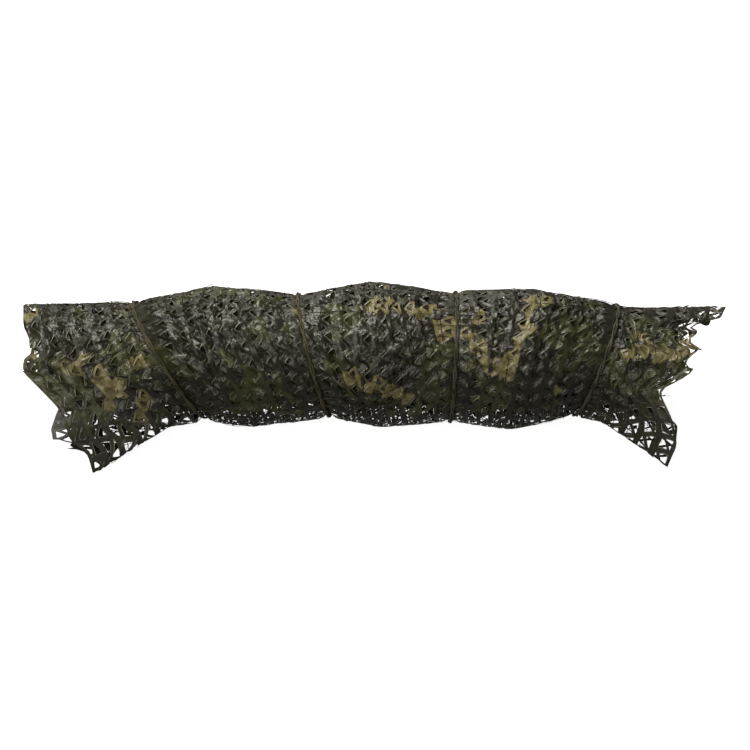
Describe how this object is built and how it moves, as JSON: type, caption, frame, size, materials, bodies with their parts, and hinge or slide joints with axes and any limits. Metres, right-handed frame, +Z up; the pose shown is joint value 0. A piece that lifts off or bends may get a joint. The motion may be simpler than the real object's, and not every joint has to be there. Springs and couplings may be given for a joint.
{
  "type": "rolled camouflage net",
  "caption": "Leaf-cut camouflage net wound into a long roll, bound at intervals with slanting twine ties, its loose ends flaring open on the ground.",
  "frame": {"origin": "on the floor under the middle of the roll, on the flat the middle bulge rests on", "axes": "+X along the roll, +Y to its back, +Z up"},
  "size_m": [1.9976, 0.5426, 0.4046],
  "materials": {
    "garnish_net": "matt coated cloth, leaf-cut, olive, brown and tan camouflage",
    "tie_twine": "two-strand drab twine"
  },
  "bodies": {
    "root": {"net_roll": "garnish_net", "tie_1": "tie_twine", "tie_2": "tie_twine", "tie_3": "tie_twine", "tie_4": "tie_twine"}
  },
  "joints": []
}
